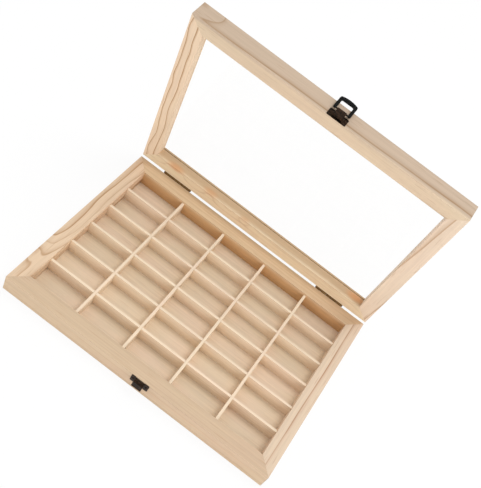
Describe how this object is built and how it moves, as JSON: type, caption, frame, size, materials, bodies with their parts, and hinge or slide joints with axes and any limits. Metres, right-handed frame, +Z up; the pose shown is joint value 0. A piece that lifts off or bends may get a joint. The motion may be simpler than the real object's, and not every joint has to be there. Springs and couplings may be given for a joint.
{
  "type": "film cassette storage box",
  "caption": "Shallow pine box with a grid of compartments for film cassettes, a hinged glazed frame lid and a small lever latch.",
  "frame": {"origin": "centre of the tray's underside", "axes": "+X to the right along the front, +Y towards the hinges, +Z up; drawn with the lid open 82.2 degrees"},
  "size_m": [0.33, 0.2692, 0.2693],
  "materials": {
    "pine": "bare, sanded",
    "pine_strip": "bare, sanded",
    "clear_pane": "clear, polished",
    "dark_bronze": "dark bronze plating, satin"
  },
  "bodies": {
    "tray": {"tray_front_rail": "pine", "tray_back_rail": "pine", "tray_left_rail": "pine", "tray_right_rail": "pine", "tray_floor": "pine_strip", "column_divider_1": "pine_strip", "column_divider_2": "pine_strip", "column_divider_3": "pine_strip", "column_divider_4": "pine_strip", "row_divider_1": "pine_strip", "row_divider_2": "pine_strip", "row_divider_3": "pine_strip", "row_divider_4": "pine_strip", "row_divider_5": "pine_strip", "left_hinge_tray_leaf": "dark_bronze", "left_hinge_pin": "dark_bronze", "right_hinge_tray_leaf": "dark_bronze", "right_hinge_pin": "dark_bronze", "hinge_tray_screws": "dark_bronze", "hook_plate": "dark_bronze", "hook_screws": "dark_bronze"},
    "lid": {"lid_front_rail": "pine", "lid_back_rail": "pine", "lid_left_rail": "pine", "lid_right_rail": "pine", "lid_pane": "clear_pane", "left_hinge_lid_leaf": "dark_bronze", "right_hinge_lid_leaf": "dark_bronze", "hinge_lid_screws": "dark_bronze", "latch_plate": "dark_bronze", "latch_pin": "dark_bronze", "latch_screws": "dark_bronze"},
    "latch_lever": {"latch_lever": "dark_bronze"},
    "latch_bail": {"latch_bail": "dark_bronze"}
  },
  "joints": [
    {"name": "lid_hinge", "type": "hinge", "parent": "tray", "child": "lid", "pos_m": [0, 0.1219, 0.0221], "axis": [-1, 0, 0], "range_deg": [-82.2, 95]},
    {"name": "latch_lever", "type": "hinge", "parent": "lid", "child": "latch_lever", "pos_m": [0.006, 0.09138, 0.2648], "axis": [1, 0, 0], "range_deg": [0, 110]},
    {"name": "latch_bail", "type": "hinge", "parent": "latch_lever", "child": "latch_bail", "pos_m": [0.006, 0.1001, 0.266], "axis": [-1, 0, 0], "range_deg": [-95, 0]}
  ]
}
